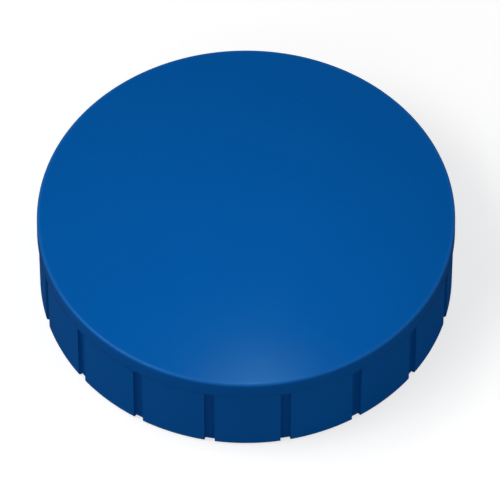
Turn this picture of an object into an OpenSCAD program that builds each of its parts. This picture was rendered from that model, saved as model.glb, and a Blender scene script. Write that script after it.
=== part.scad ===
// Round office magnet: a moulded plastic cap with a fluted grip wall, and a ferrite disc in its underside.
// It lies on its magnetic face. The origin is the centre of the underside, +Z is up, and -Y is the front.

/* [Cap] */
// Diameter of the cap over its lip
cap_d = 32; // [30:1:40]
// Height of the cap, from the underside to the face
cap_h = 7.9; // [6.9:0.1:10]
// Height of the lip round the face
lip_h = 1.6; // [0.6:0.1:2.5]
// How far the lip stands out from the top of the wall
lip_step = 0.1; // [0.05:0.05:0.4]
// Radius of the edge round the face
face_edge_r = 0.2; // [0.1:0.05:0.5]
// Radius of the outer edge round the base
base_edge_r = 0.25; // [0.1:0.05:0.6]
// Draft of the moulded walls, in degrees
draft = 0.8; // [0.2:0.1:2]

/* [Grip flutes] */
// Number of flutes round the wall
flute_count = 17; // [8:1:30]
// Width of a flute
flute_w = 0.8; // [0.4:0.1:2]
// Depth of a flute
flute_d = 0.25; // [0.1:0.05:0.8]

/* [Magnet] */
// How far the edge of the ferrite disc lies in from the outside of the lip
disc_inset = 3.5; // [2.8:0.1:5.5]
// Thickness of the ferrite disc
magnet_t = 5; // [3:0.5:5.5]
// Ground bevel on the edges of the ferrite disc
magnet_bevel = 0.3; // [0.1:0.1:0.8]
// How far the ferrite disc lies back from the rim of the cap
magnet_recess = 0.2; // [0.1:0.1:0.5]

/* [Pocket] */
// Gap between the ferrite disc and the wall of the pocket, at the roof
pocket_gap = 0.8; // [0.4:0.1:1.2]
// Bevel round the mouth of the pocket
mouth_bevel = 0.25; // [0.1:0.05:0.5]
// Number of ribs that centre the ferrite disc
rib_count = 8; // [3:1:16]
// Width of a rib
rib_w = 0.8; // [0.5:0.1:1.5]
// Clearance between a rib and the ferrite disc
rib_clearance = 0.05; // [0.02:0.01:0.2]
// How far a rib starts in from the rim of the cap
rib_setback = 0.5; // [0.2:0.1:1]
// Length of the slope at a rib's start, that leads the disc in
rib_lead = 0.6; // [0.3:0.1:1.5]

/* [Hidden] */
$fn = 120;

// Steps in the quarter circle of a rounded edge
EDGE_STEPS = 8;
// How far a cutter runs past the surface that it cuts
PAST = 0.5;
// How far a rib is rooted in the wall and the roof
ROOT = 0.15;
// Angle of the front of the magnet
FRONT = -90;

lip_r = cap_d / 2;
lip_z = cap_h - lip_h;
wall_top_r = lip_r - lip_step;
wall_base_r = wall_top_r - lip_z * tan(draft);

magnet_r = lip_r - disc_inset;
pocket_h = magnet_recess + magnet_t;
rib_tip_r = magnet_r + rib_clearance;

// Radius of the wall's surface at the height z
function wall_r(z) = wall_base_r + z * tan(draft);

// Radius of the pocket at the height z, narrower towards the roof
function pocket_r(z) = magnet_r + pocket_gap + (pocket_h - z) * tan(draft);

// Points along an arc of the radius r, from angle a to angle b
function arc(centre, r, a, b) = [
    for (i = [0 : EDGE_STEPS])
        let (at = a + (b - a) * i / EDGE_STEPS)
            centre + r * [cos(at), sin(at)]
];

// Lip and face, with a rounded edge
module lip() {
    rotate_extrude()
        polygon(concat(
            [[0, lip_z], [0, cap_h]],
            arc([lip_r - face_edge_r, cap_h - face_edge_r], face_edge_r, 90, 0),
            [[lip_r, lip_z]]
        ));
}

// Drafted wall with a rounded base edge, which runs up into the lip
module wall() {
    wall_h = lip_z + lip_h / 2;
    rotate_extrude()
        polygon(concat(
            [[0, 0], [0, wall_h], [wall_r(wall_h), wall_h]],
            arc([wall_r(base_edge_r) - base_edge_r, base_edge_r], base_edge_r, 0, -90)
        ));
}

// Space in the underside for the ferrite disc, with a bevelled mouth
module pocket() {
    rotate_extrude()
        polygon([
            [0, -PAST],
            [pocket_r(0) + mouth_bevel + PAST, -PAST],
            [pocket_r(0) + mouth_bevel, 0],
            [pocket_r(mouth_bevel), mouth_bevel],
            [pocket_r(pocket_h), pocket_h],
            [0, pocket_h]
        ]);
}

// Cutters for the flutes, with the front of the wall between two of them
module flutes() {
    for (i = [0 : flute_count - 1])
        rotate(FRONT + (i + 0.5) * 360 / flute_count)
            rotate([90, 0, 0])
                linear_extrude(flute_w, center = true)
                    polygon([
                        [wall_r(-PAST) - flute_d, -PAST],
                        [lip_r + PAST, -PAST],
                        [lip_r + PAST, cap_h],
                        [wall_r(cap_h) - flute_d, cap_h]
                    ]);
}

// Ribs that centre the ferrite disc, rooted in the wall and the roof of the pocket
module ribs() {
    slope = rib_lead / (pocket_r(rib_setback) - rib_tip_r);
    for (i = [0 : rib_count - 1])
        rotate(FRONT + i * 360 / rib_count)
            rotate([90, 0, 0])
                linear_extrude(rib_w, center = true)
                    polygon([
                        [pocket_r(rib_setback) + ROOT, rib_setback - slope * ROOT],
                        [rib_tip_r, rib_setback + rib_lead],
                        [rib_tip_r, pocket_h + ROOT],
                        [pocket_r(rib_setback) + ROOT, pocket_h + ROOT]
                    ]);
}

module cap() {
    color([0.01, 0.30, 0.58])
        union() {
            difference() {
                union() {
                    difference() {
                        wall();
                        flutes();
                    }
                    lip();
                }
                pocket();
            }
            ribs();
        }
}

module magnet() {
    color([0.20, 0.20, 0.21])
        translate([0, 0, magnet_recess])
            rotate_extrude()
                polygon([
                    [0, 0],
                    [magnet_r - magnet_bevel, 0],
                    [magnet_r, magnet_bevel],
                    [magnet_r, magnet_t - magnet_bevel],
                    [magnet_r - magnet_bevel, magnet_t],
                    [0, magnet_t]
                ]);
}

cap();
magnet();
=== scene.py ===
"""Round office magnet: a moulded plastic cap with a fluted grip wall, and a ferrite disc underneath."""

import math

import bmesh
import bpy
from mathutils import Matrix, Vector

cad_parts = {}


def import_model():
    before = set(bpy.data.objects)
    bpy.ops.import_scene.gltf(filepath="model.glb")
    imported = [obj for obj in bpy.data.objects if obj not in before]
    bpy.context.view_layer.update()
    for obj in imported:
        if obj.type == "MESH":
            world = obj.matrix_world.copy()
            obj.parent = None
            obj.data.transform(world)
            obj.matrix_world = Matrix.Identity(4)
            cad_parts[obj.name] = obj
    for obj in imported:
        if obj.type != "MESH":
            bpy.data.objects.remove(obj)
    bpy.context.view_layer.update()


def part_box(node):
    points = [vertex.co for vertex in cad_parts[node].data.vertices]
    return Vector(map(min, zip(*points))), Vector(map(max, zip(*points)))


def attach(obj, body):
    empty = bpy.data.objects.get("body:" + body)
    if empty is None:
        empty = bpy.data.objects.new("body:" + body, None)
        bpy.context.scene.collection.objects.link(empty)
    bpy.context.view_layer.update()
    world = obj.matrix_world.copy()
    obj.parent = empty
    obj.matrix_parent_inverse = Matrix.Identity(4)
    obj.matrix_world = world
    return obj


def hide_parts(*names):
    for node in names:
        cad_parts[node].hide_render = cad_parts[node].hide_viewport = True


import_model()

# Sizes of the cap, in metres

MM = 0.001

cap_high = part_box("cap")[1]
disc_low, disc_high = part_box("magnet")

LIP_R = cap_high.x
CAP_TOP = cap_high.z
LIP_H = 1.6 * MM
LIP_STEP = 0.1 * MM
LIP_UNDER_EDGE = 0.08 * MM
FACE_EDGE_R = 0.2 * MM
BASE_EDGE_R = 0.25 * MM
DRAFT = math.radians(0.8)

LIP_Z = CAP_TOP - LIP_H
WALL_TOP_R = LIP_R - LIP_STEP
WALL_BASE_R = WALL_TOP_R - LIP_Z * math.tan(DRAFT)

FLUTES = 17
FLUTE_W = 0.8 * MM
FLUTE_D = 0.25 * MM
FLUTE_OUTER_EDGE = 0.1 * MM
FLUTE_ROOT_EDGE = 0.05 * MM
FLUTE_FLANK = math.radians(6)
FLUTE_PITCH = 2 * math.pi / FLUTES

# Sizes of the ferrite disc, its pocket and the ribs that centre it

DISC_R = disc_high.x
DISC_TOP = disc_high.z
DISC_BASE = disc_low.z
DISC_BEVEL = 0.3 * MM
DISC_FINE_EDGE = 0.04 * MM

POCKET_GAP = 0.8 * MM
POCKET_TOP = DISC_TOP
MOUTH_BEVEL = 0.25 * MM

RIBS = 8
RIB_W = 0.8 * MM
RIB_TIP_R = DISC_R + 0.05 * MM
RIB_START = 0.5 * MM
RIB_LEAD = 0.6 * MM

# Fineness of the meshes. The cap is turned in columns: 24 to a flute's pitch, and so 51 to a rib's

PITCH_COLUMNS = 24
COLUMNS = FLUTES * PITCH_COLUMNS
COLUMN = 2 * math.pi / COLUMNS
FRONT_COLUMN = -COLUMNS // 4
# Columns that a flute or a rib takes on each side of its middle one
REACH = 2

FACE_RINGS = (0, 4 * MM, 8 * MM, 12 * MM)
FACE_MARGIN = 0.08 * MM
WALL_MARGIN = 0.1 * MM
EDGE_STEPS = 8
UNDER_EDGE_STEPS = 4
OUTER_EDGE_SEGMENTS = 3
ROOT_EDGE_SEGMENTS = 2

DISC_COLUMNS = 240
DISC_EDGE_SEGMENTS = 2

# How near two vertices are merged, and how near one lies to a place to count as there
MERGE = 0.001 * MM
NEAR = 0.01 * MM
IN_LINE = COLUMN / 20
SHARP = math.radians(30)
BEVEL_SHARP = math.radians(20)


def wall_r(z):
    """Radius of the drafted wall at the height z."""
    return WALL_BASE_R + z * math.tan(DRAFT)


def pocket_r(z):
    """Radius of the pocket at the height z."""
    return DISC_R + POCKET_GAP + (POCKET_TOP - z) * math.tan(DRAFT)


def arc(centre_r, centre_z, radius, start, end, steps):
    """Points of a rounded edge in the profile plane, angles in degrees."""
    angles = [math.radians(start + (end - start) * i / steps) for i in range(steps + 1)]
    return [(centre_r + radius * math.cos(a), centre_z + radius * math.sin(a)) for a in angles]


# Mesh helpers

def turned(bm, profile, columns):
    """Spins a profile of radius and height points round the Z axis into a closed skin."""
    verts = [bm.verts.new((r, 0, z)) for r, z in profile]
    edges = [bm.edges.new(pair) for pair in zip(verts, verts[1:])]
    bmesh.ops.spin(
        bm, geom=verts + edges, cent=(0, 0, 0), axis=(0, 0, 1), dvec=(0, 0, 0),
        angle=2 * math.pi, steps=columns, use_merge=True, use_duplicate=False,
    )
    bmesh.ops.remove_doubles(bm, verts=bm.verts, dist=MERGE)
    bmesh.ops.recalc_face_normals(bm, faces=bm.faces)


def radius_of(vert):
    """How far a vertex stands from the Z axis."""
    return math.hypot(vert.co.x, vert.co.y)


def angle_of(vert):
    """Angle of a vertex round the Z axis, counted from +X."""
    return math.atan2(vert.co.y, vert.co.x)


def columns_from(centre, vert):
    """Columns from the centre column to the one that a vertex stands in, the short way round."""
    column = round(angle_of(vert) / COLUMN) % COLUMNS
    return (column - centre + COLUMNS // 2) % COLUMNS - COLUMNS // 2


def side(step):
    """-1, 0 or 1: the side of the centre column that a step leads to."""
    return (step > 0) - (step < 0)


def move(vert, radius, angle):
    """Puts a vertex at a radius and an angle, at the height that it has."""
    vert.co.x = radius * math.cos(angle)
    vert.co.y = radius * math.sin(angle)


def soften(bm, edges, width, segments):
    """Rounds the given edges."""
    bmesh.ops.bevel(
        bm, geom=edges, offset=width, offset_type="OFFSET", affect="EDGES", segments=segments,
        profile=0.5, material=-1, clamp_overlap=True, loop_slide=True,
    )


def piece(name, bm, material, node):
    """Makes a piece of a mesh, in place of a solid of the frame."""
    mesh = bpy.data.meshes.new(name)
    bm.to_mesh(mesh)
    bm.free()
    for face in mesh.polygons:
        face.use_smooth = True
    mesh.set_sharp_from_angle(angle=SHARP)
    mesh.materials.append(material)
    made = bpy.data.objects.new(name, mesh)
    bpy.context.scene.collection.objects.link(made)
    normals = made.modifiers.new("flat faces stay flat", "WEIGHTED_NORMAL")
    normals.keep_sharp = True
    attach(made, "root")
    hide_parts(node)


# Shader helpers

NOISE_ROUGHNESS = 0.55


class Wire:
    """An output socket. An expression on it adds the Math nodes that work it out."""

    def __init__(self, shader, socket):
        self.shader = shader
        self.socket = socket

    def maths(self, operation, first, second=0.0):
        return self.shader.node("Math", {"operation": operation}, {0: first, 1: second})

    def __add__(self, other):
        return self.maths("ADD", self, other)

    def __sub__(self, other):
        return self.maths("SUBTRACT", self, other)

    def __mul__(self, other):
        return self.maths("MULTIPLY", self, other)

    def __truediv__(self, other):
        return self.maths("DIVIDE", self, other)

    def __radd__(self, other):
        return self.maths("ADD", other, self)

    def __rsub__(self, other):
        return self.maths("SUBTRACT", other, self)

    def __rmul__(self, other):
        return self.maths("MULTIPLY", other, self)

    def root(self):
        return self.maths("SQRT", self)

    def size(self):
        return self.maths("ABSOLUTE", self)

    def fraction(self):
        return self.maths("FRACT", self)

    def over(self, low, high):
        """0 below low, 1 above high, and smooth between."""
        return self.shader.node(
            "MapRange", {"interpolation_type": "SMOOTHSTEP"},
            {"Value": self, "From Min": low, "From Max": high},
        )


class Shader:
    """A material's node tree."""

    def __init__(self, name):
        self.material = bpy.data.materials.new(name)
        self.material.use_nodes = True
        self.tree = self.material.node_tree
        self.tree.nodes.clear()

    def node(self, kind, settings=None, inputs=None, output=0):
        """Adds a node, with its settings first and then its sockets' values or links."""
        made = self.tree.nodes.new("ShaderNode" + kind)
        for name, value in (settings or {}).items():
            setattr(made, name, value)
        for name, value in (inputs or {}).items():
            if isinstance(value, Wire):
                self.tree.links.new(value.socket, made.inputs[name])
            else:
                made.inputs[name].default_value = value
        return Wire(self, made.outputs[output]) if made.outputs else None

    def place(self):
        """The place on the piece: its X, Y and Z, in metres, and the whole vector."""
        at = self.node("TexCoord", output="Object")
        split = self.node("SeparateXYZ", inputs={"Vector": at})
        x, y, z = (Wire(self, axis) for axis in split.socket.node.outputs)
        return x, y, z, at

    def angle(self, x, y):
        """Angle round the Z axis, counted from +X."""
        return self.node("Math", {"operation": "ARCTAN2"}, {0: y, 1: x})

    def noise(self, at, size, detail, stretch=None):
        """Noise from 0 to 1, with blobs of about the given size in metres."""
        if stretch:
            at = self.node("Mapping", inputs={"Vector": at, "Scale": stretch})
        return self.node(
            "TexNoise", {"noise_dimensions": "3D"},
            {"Vector": at, "Scale": 1 / size, "Detail": detail, "Roughness": NOISE_ROUGHNESS},
        )

    def lines(self, at, turn, width):
        """Sparse fine lines across the face at an angle, 0 between them and up to 1 on them."""
        along = self.node(
            "Mapping", {"vector_type": "TEXTURE"},
            {"Vector": at, "Rotation": (0, 0, turn), "Scale": LINE_STRETCH},
        )
        broken = self.noise(at, *LINE_BREAKS).over(*LINE_GAPS)
        return self.noise(along, width, LINE_DETAIL).over(*SPARSE) * broken

    def colour(self, amount, low, high):
        """Mixes two colours by an amount from 0 to 1."""
        made = self.tree.nodes.new("ShaderNodeMix")
        made.data_type = "RGBA"
        factor, first, second, result = made.inputs[0], made.inputs[6], made.inputs[7], made.outputs[2]
        self.tree.links.new(amount.socket, factor)
        for socket, value in ((first, low), (second, high)):
            if isinstance(value, Wire):
                self.tree.links.new(value.socket, socket)
            else:
                socket.default_value = (*value, 1.0)
        return Wire(self, result)

    def bump(self, height, depth):
        """Bump of a height map whose full swing is the given depth in metres."""
        return self.node("Bump", inputs={"Height": height, "Distance": depth, "Strength": 1.0})

    def output(self, surface):
        """Ends the tree in the given surface."""
        self.node("OutputMaterial", inputs={"Surface": surface})
        return self.material

    def principled(self, **sockets):
        """Ends the tree in a Principled shader with the given sockets."""
        inputs = {name.replace("_", " "): value for name, value in sockets.items()}
        return self.output(self.node("BsdfPrincipled", inputs=inputs))


# Patterns: the size of a blob, its detail, and a stretch where it has one

PLASTIC_CLOUDS = (6 * MM, 3.0)
PLASTIC_MOTTLE = (0.9 * MM, 2.0)
PLASTIC_GRAIN = (0.075 * MM, 2.0)
DRAWN_GRAIN = (0.14 * MM, 2.0, (1, 1, 0.04))
FERRITE_CLOUDS = (4 * MM, 4.0)
FERRITE_GRAIN = (0.09 * MM, 3.0)
FERRITE_PITS = (0.2 * MM, 1.0)
GRINDING = (0.1 * MM, 3.0, (1, 0.012, 1))

# Scuff lines: the angle and the width of two sets, and how they are stretched, broken and thinned out

SCUFFS_RIGHT = (0.5, 0.05 * MM)
SCUFFS_LEFT = (-0.9, 0.06 * MM)
LINE_STRETCH = (1, 70, 5)
LINE_DETAIL = 1.0
LINE_BREAKS = (2.5 * MM, 2.0)
LINE_GAPS = (0.52, 0.66)
SPARSE = (0.70, 0.76)

# Where a finish fades in: none of it up to the first measure, and all of it from the second

OUTSIDE_R = (WALL_BASE_R - 0.8 * MM, WALL_BASE_R - 0.5 * MM)
LIP_FOOT_Z = (LIP_Z - 0.1 * MM, LIP_Z)
FACE_Z = (CAP_TOP - 0.05 * MM, CAP_TOP - 0.01 * MM)
RUBBED_R = (LIP_R - 0.35 * MM, LIP_R - 0.05 * MM)
RUBBED_Z = (CAP_TOP - 0.35 * MM, CAP_TOP - 0.1 * MM)
FLUTE_SIDE = (FLUTE_W / 2 - 0.18 * MM, FLUTE_W / 2)
CORNER_BELOW_Z = (LIP_Z - 0.35 * MM, LIP_Z)
CORNER_ABOVE_Z = (LIP_Z, LIP_Z + 0.12 * MM)
DISC_RIM_R = (DISC_R - DISC_BEVEL - 0.2 * MM, DISC_R)

# The plastic: linear colours, how the patterns share in its tone, wear, painted shade, roughness and
# relief

BLUE_DEEP = (0.0, 0.0735, 0.293)
BLUE_PALE = (0.0, 0.0815, 0.322)
BLUE_RUBBED = (0.012, 0.115, 0.40)
# The darker blue that is painted into the flutes and under the lip as shade
BLUE_SHADED = (0.0, 0.054, 0.245)
TONE_CLOUDS, TONE_MOTTLE, TONE_GRAIN = 0.55, 0.3, 0.15
RUBBING, RUBBING_MOTTLE = 0.35, 0.3
# How strongly the flutes, and in patches the wall under the lip, are darkened as painted shade
FLUTE_SHADE, FLUTE_SHADE_MOTTLE, SHADE_UNDER_LIP = 0.65, 0.35, 0.15
SATIN = 0.215
ROUGH_CLOUDS, ROUGH_GRAIN, ROUGH_WALL, ROUGH_SCUFFS, SMOOTH_RUBBED = 0.03, 0.04, 0.14, 0.08, 0.03
RELIEF_DRAWN, RELIEF_MOTTLE, RELIEF_SCUFFS = 0.7, 0.5, 0.15
PLASTIC_RELIEF = 0.006 * MM
PLASTIC_IOR = 1.5
PLASTIC_GLOSS = 0.2
PLASTIC_GLOSS_TINT = (0.40, 0.92, 1.0, 1.0)

# The ferrite, in the same way

GREY_DARK = (0.020, 0.020, 0.022)
GREY_PALE = (0.062, 0.062, 0.066)
GREY_WORN = (0.11, 0.11, 0.115)
SHADE_CLOUDS, SHADE_GRAIN, SHADE_GRINDING = 0.45, 0.25, 0.3
WORN_PITS, WORN_RIM = 0.3, 0.25
GROUND, GROUND_GRAIN, GROUND_RIM = 0.42, 0.2, 0.1
DEEP_GRAIN, DEEP_GRINDING, DEEP_PITS = 0.7, 0.9, 0.6
FERRITE_RELIEF = 0.004 * MM
FERRITE_IOR = 1.7
FERRITE_GLOSS = 0.6


def plastic():
    """Blue moulded plastic.

    It has a satin grain, faint hairline scuffs, a rubbed edge, and painted shade that darkens the flutes
    and, in patches, the wall under the lip.
    """
    shader = Shader("blue_plastic")
    x, y, z, at = shader.place()
    radius = (x * x + y * y).root()

    clouds = shader.noise(at, *PLASTIC_CLOUDS)
    mottle = shader.noise(at, *PLASTIC_MOTTLE)
    grain = shader.noise(at, *PLASTIC_GRAIN)
    drawn = shader.noise(at, *DRAWN_GRAIN)
    scuffs = shader.lines(at, *SCUFFS_RIGHT) + shader.lines(at, *SCUFFS_LEFT)

    outside = radius.over(*OUTSIDE_R)
    on_wall = outside * (1 - z.over(*LIP_FOOT_Z))
    on_face = z.over(*FACE_Z)
    rubbed = radius.over(*RUBBED_R) * z.over(*RUBBED_Z)
    turn = (shader.angle(x, y) + math.pi / 2) / FLUTE_PITCH
    from_flute = (turn.fraction() - 0.5).size() * (FLUTE_PITCH * WALL_BASE_R)
    flute = on_wall * (1 - from_flute.over(*FLUTE_SIDE))
    under_lip = outside * z.over(*CORNER_BELOW_Z) * (1 - z.over(*CORNER_ABOVE_Z))

    tone = clouds * TONE_CLOUDS + mottle * TONE_MOTTLE + grain * TONE_GRAIN
    fresh = shader.colour(tone, BLUE_DEEP, BLUE_PALE)
    worn = shader.colour(rubbed * (RUBBING + RUBBING_MOTTLE * mottle), fresh, BLUE_RUBBED)
    # Painted shade: the colour darkens in the flutes, and in patches under the lip, in place of the shade
    # that falls in these recesses
    painted_shade = flute * (FLUTE_SHADE + FLUTE_SHADE_MOTTLE * mottle) + under_lip * SHADE_UNDER_LIP * mottle
    colour = shader.colour(painted_shade, worn, BLUE_SHADED)
    even = SATIN + ROUGH_CLOUDS * clouds + ROUGH_GRAIN * grain
    roughness = even - SMOOTH_RUBBED * rubbed + ROUGH_WALL * on_wall + ROUGH_SCUFFS * scuffs * on_face
    skin = grain + drawn * on_wall * RELIEF_DRAWN + mottle * RELIEF_MOTTLE
    relief = skin - scuffs * on_face * RELIEF_SCUFFS
    return shader.principled(
        Base_Color=colour,
        Roughness=roughness,
        Specular_IOR_Level=PLASTIC_GLOSS,
        Specular_Tint=PLASTIC_GLOSS_TINT,
        IOR=PLASTIC_IOR,
        Normal=shader.bump(relief, PLASTIC_RELIEF),
    )


def ferrite():
    """Dark grey sintered ferrite: ground flat, with fine grain, faint grinding lines and a paler bevel."""
    shader = Shader("ferrite")
    x, y, z, at = shader.place()
    radius = (x * x + y * y).root()

    clouds = shader.noise(at, *FERRITE_CLOUDS)
    grain = shader.noise(at, *FERRITE_GRAIN)
    pits = shader.noise(at, *FERRITE_PITS).over(*SPARSE)
    grinding = shader.noise(at, *GRINDING)
    rim = radius.over(*DISC_RIM_R)

    shade = clouds * SHADE_CLOUDS + grain * SHADE_GRAIN + grinding * SHADE_GRINDING
    body = shader.colour(shade, GREY_DARK, GREY_PALE)
    colour = shader.colour(pits * WORN_PITS + rim * WORN_RIM, body, GREY_WORN)
    relief = grain * DEEP_GRAIN + grinding * DEEP_GRINDING - pits * DEEP_PITS
    return shader.principled(
        Base_Color=colour,
        Roughness=GROUND + GROUND_GRAIN * grain + GROUND_RIM * rim,
        Specular_IOR_Level=FERRITE_GLOSS,
        IOR=FERRITE_IOR,
        Normal=shader.bump(relief, FERRITE_RELIEF),
    )


# The moulded cap

def cap_profile():
    """Outline of the cap.

    It runs from the middle of the face, round the lip and the wall, to the middle of the pocket's roof.
    """
    base_r = wall_r(BASE_EDGE_R)
    face = [(r, CAP_TOP) for r in (*FACE_RINGS, LIP_R - FACE_EDGE_R - FACE_MARGIN)]
    lip = arc(LIP_R - FACE_EDGE_R, CAP_TOP - FACE_EDGE_R, FACE_EDGE_R, 90, 0, EDGE_STEPS)
    lip_under = arc(
        LIP_R - LIP_UNDER_EDGE, LIP_Z + LIP_UNDER_EDGE, LIP_UNDER_EDGE, 0, -90, UNDER_EDGE_STEPS,
    )
    wall_z = (LIP_Z, LIP_Z - WALL_MARGIN, LIP_Z / 2, BASE_EDGE_R + WALL_MARGIN)
    wall = [(wall_r(z), z) for z in wall_z]
    base = arc(base_r - BASE_EDGE_R, BASE_EDGE_R, BASE_EDGE_R, 0, -90, EDGE_STEPS)
    mouth = [(pocket_r(0) + MOUTH_BEVEL, 0), (pocket_r(MOUTH_BEVEL), MOUTH_BEVEL)]
    pocket = [(pocket_r(z), z) for z in (RIB_START, RIB_START + RIB_LEAD, POCKET_TOP)]
    return face + lip + lip_under + wall + base + mouth + pocket + [(0, POCKET_TOP)]


def cut_flutes(bm):
    """Draws the wall in at each flute: three columns make its floor, and one on each side its edges."""
    inside = (pocket_r(0) + WALL_BASE_R) / 2
    wall = [
        v for v in bm.verts
        if v.co.z < LIP_Z + NEAR and inside < radius_of(v) < WALL_TOP_R + NEAR
    ]
    lean = FLUTE_D * math.tan(FLUTE_FLANK)
    for flute in range(FLUTES):
        centre = FRONT_COLUMN + PITCH_COLUMNS // 2 + PITCH_COLUMNS * flute
        for vert in wall:
            step = columns_from(centre, vert)
            if abs(step) > REACH:
                continue
            at_edge = abs(step) == REACH
            half = FLUTE_W / 2 if at_edge else FLUTE_W / 2 - lean
            radius = radius_of(vert) if at_edge else radius_of(vert) - FLUTE_D
            move(vert, radius, centre * COLUMN + side(step) * math.asin(half / WALL_BASE_R))


def raise_ribs(bm):
    """Draws the pocket's wall in at each rib, from its sloped start to the roof."""
    wall = [
        v for v in bm.verts
        if RIB_START - NEAR < v.co.z < POCKET_TOP + NEAR and RIB_TIP_R < radius_of(v) < pocket_r(0) + NEAR
    ]
    for rib in range(RIBS):
        centre = FRONT_COLUMN + COLUMNS // RIBS * rib
        for vert in wall:
            step = columns_from(centre, vert)
            if abs(step) > REACH:
                continue
            rooted = abs(step) == REACH or vert.co.z < RIB_START + NEAR
            radius = radius_of(vert) if rooted else RIB_TIP_R
            move(vert, radius, centre * COLUMN + side(step) * math.asin(RIB_W / 2 / radius))


def runs_up(a, b):
    """True for an edge that rises more than it goes sideways."""
    return math.dist((a.co.x, a.co.y), (b.co.x, b.co.y)) < abs(a.co.z - b.co.z)


def runs_in(a, b):
    """True for an edge that runs in along the rounded base edge, towards the axis."""
    return abs(angle_of(a) - angle_of(b)) < IN_LINE and max(a.co.z, b.co.z) < BASE_EDGE_R + NEAR


def flute_edges(bm, bend):
    """The flutes' long edges: the outer ones, which bend by 1, or the ones in the corners, by -1."""
    found = []
    rim_r = pocket_r(0) + MOUTH_BEVEL + WALL_MARGIN
    for edge in bm.edges:
        a, b = edge.verts
        outside = min(radius_of(a), radius_of(b)) > rim_r
        long = runs_up(a, b) or runs_in(a, b)
        if outside and long and max(a.co.z, b.co.z) < LIP_Z + NEAR:
            if edge.calc_face_angle_signed() * bend > SHARP:
                found.append(edge)
    return found


def cap():
    """The cap, turned and then fluted outside and ribbed inside."""
    bm = bmesh.new()
    turned(bm, cap_profile(), COLUMNS)
    cut_flutes(bm)
    raise_ribs(bm)
    soften(bm, flute_edges(bm, 1), FLUTE_OUTER_EDGE, OUTER_EDGE_SEGMENTS)
    soften(bm, flute_edges(bm, -1), FLUTE_ROOT_EDGE, ROOT_EDGE_SEGMENTS)
    piece("cap_moulding", bm, plastic(), "cap")


# The ferrite disc

def disc():
    """The ferrite disc, turned, with ground bevels."""
    flat_r = DISC_R - DISC_BEVEL
    ring_r = flat_r - DISC_BEVEL
    top = [(0, DISC_TOP), (ring_r, DISC_TOP), (flat_r, DISC_TOP), (DISC_R, DISC_TOP - DISC_BEVEL)]
    base = [(DISC_R, DISC_BASE + DISC_BEVEL), (flat_r, DISC_BASE), (ring_r, DISC_BASE), (0, DISC_BASE)]
    bm = bmesh.new()
    turned(bm, top + base, DISC_COLUMNS)
    edges = [edge for edge in bm.edges if edge.calc_face_angle() > BEVEL_SHARP]
    soften(bm, edges, DISC_FINE_EDGE, DISC_EDGE_SEGMENTS)
    piece("ferrite_disc", bm, ferrite(), "magnet")


cap()
disc()


# Studio

# The floor's own light and its tint as the camera sees them, the tint of the light that it throws back,
# and the tint that the magnet's gloss mirrors
FLOOR_GLOW = 0.64
FLOOR_SEEN = 0.48
FLOOR_BOUNCE = 0.2
FLOOR_IN_GLOSS = 0.04
FLOOR_R = 1.0
FLOOR_SIDES = 96

# Light from all round, for everything but the camera, which sees plain white
WORLD = 0.10

# A ring of low lamps lights the wall evenly from all sides, a little more at the front left
RING = range(-135, 181, 45)
FRONT_LEFT = -45
RING_POWER = 0.325
RING_POWER_LEFT = 0.42

# Two near lamps: one lights the edge at the front, and the other shows as a glow behind it
FRONT_EDGE_TARGET = (0.6 * MM, -LIP_R + 1.5 * MM, CAP_TOP)
GLOW_TARGET = (0.8 * MM, -LIP_R - 3.4 * MM, CAP_TOP)

# The photograph's view: the side of the picture, and the face's width and middle in its pixels
CAMERA_AZIMUTH = math.radians(-0.45)
CAMERA_ELEVATION = math.radians(53.5)
CAMERA_DISTANCE = 1.2
CAMERA_CLIP = (0.05, 10)
SENSOR = 36.0
FRAME = 500
FACE_WIDTH = 418.6
FACE_AT = (246.0, 216.1)
PIXEL = 2 * LIP_R / FACE_WIDTH


def grey(level):
    """A neutral colour."""
    return (level, level, level)


def floor():
    """A plain pale floor: white to the camera, greyer in what it throws back, and dim in the gloss."""
    bm = bmesh.new()
    bmesh.ops.create_circle(bm, cap_ends=True, radius=FLOOR_R, segments=FLOOR_SIDES)
    mesh = bpy.data.meshes.new("floor")
    bm.to_mesh(mesh)
    bm.free()
    made = bpy.data.objects.new("floor", mesh)
    bpy.context.scene.collection.objects.link(made)
    shader = Shader("floor")
    seen = shader.node("LightPath", output="Is Camera Ray")
    mirrored = shader.node("LightPath", output="Is Glossy Ray")
    thrown_back = shader.colour(mirrored, grey(FLOOR_BOUNCE), grey(FLOOR_IN_GLOSS))
    tint = shader.colour(seen, thrown_back, grey(FLOOR_SEEN))
    matt = shader.node("BsdfDiffuse", inputs={"Color": tint})
    glow = shader.node("Emission", inputs={"Color": (1, 1, 1, 1), "Strength": seen * FLOOR_GLOW})
    mesh.materials.append(shader.output(shader.node("AddShader", inputs={0: matt, 1: glow})))


def world():
    """Plain light from all round: white to the camera, and dim in what the gloss shows."""
    made = bpy.data.worlds.new("studio")
    made.use_nodes = True
    tree = made.node_tree
    background = tree.nodes["Background"]
    background.inputs["Color"].default_value = (1, 1, 1, 1)
    path = tree.nodes.new("ShaderNodeLightPath")
    level = tree.nodes.new("ShaderNodeMapRange")
    level.inputs["To Min"].default_value = WORLD
    level.inputs["To Max"].default_value = 1.0
    tree.links.new(path.outputs["Is Camera Ray"], level.inputs["Value"])
    tree.links.new(level.outputs["Result"], background.inputs["Strength"])
    bpy.context.scene.world = made


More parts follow.
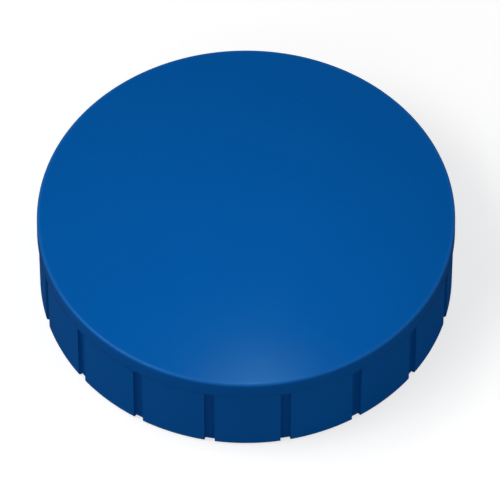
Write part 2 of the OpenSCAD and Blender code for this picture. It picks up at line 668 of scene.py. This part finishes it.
def lamp(name, azimuth, elevation, distance, size, power, target=(0, 0, 0), in_gloss=True):
    """A soft round lamp that faces the target. Azimuth 0 is the front, and 90 the right."""
    data = bpy.data.lights.new(name, "AREA")
    data.shape = "DISK"
    data.size = size
    data.energy = power
    made = bpy.data.objects.new(name, data)
    bpy.context.scene.collection.objects.link(made)
    a, e = math.radians(azimuth), math.radians(elevation)
    away = Vector((math.sin(a) * math.cos(e), -math.cos(a) * math.cos(e), math.sin(e)))
    made.location = Vector(target) + away * distance
    made.rotation_euler = away.to_track_quat("Z", "Y").to_euler()
    made.visible_camera = False
    made.visible_glossy = in_gloss


def lamps():
    """The key lamp on the left, the low ring, and the two near lamps at the front of the face."""
    lamp("key", azimuth=-80, elevation=60, distance=0.10, size=0.06, power=0.040)
    for azimuth in RING:
        power = RING_POWER_LEFT if azimuth == FRONT_LEFT else RING_POWER
        lamp(
            "ring %d" % azimuth, azimuth, elevation=20, distance=0.45, size=0.30, power=power,
            in_gloss=False,
        )
    lamp(
        "front edge", azimuth=0, elevation=88, distance=0.028, size=0.012, power=0.0019,
        target=FRONT_EDGE_TARGET,
    )
    lamp(
        "glow", azimuth=180, elevation=53.5, distance=0.030, size=0.0065, power=0.00096,
        target=GLOW_TARGET,
    )


def camera():
    """A long lens at the photograph's viewing angle, aimed so that the face stands where it does there."""
    data = bpy.data.cameras.new("camera")
    data.sensor_width = SENSOR
    data.lens = SENSOR * CAMERA_DISTANCE / (FRAME * PIXEL)
    data.clip_start, data.clip_end = CAMERA_CLIP
    made = bpy.data.objects.new("camera", data)
    bpy.context.scene.collection.objects.link(made)
    outward = Vector((math.sin(CAMERA_AZIMUTH), -math.cos(CAMERA_AZIMUTH), 0))
    upward = Vector((0, 0, 1))
    back = outward * math.cos(CAMERA_ELEVATION) + upward * math.sin(CAMERA_ELEVATION)
    right = upward.cross(back).normalized()
    up = back.cross(right)
    off_x, off_y = (FRAME / 2 - at for at in FACE_AT)
    aim = Vector((0, 0, CAP_TOP)) + (right * off_x - up * off_y) * PIXEL
    made.location = aim + back * CAMERA_DISTANCE
    made.rotation_euler = back.to_track_quat("Z", "Y").to_euler()
    bpy.context.scene.camera = made


floor()
world()
lamps()
camera()

bpy.context.scene.view_settings.view_transform = "Standard"
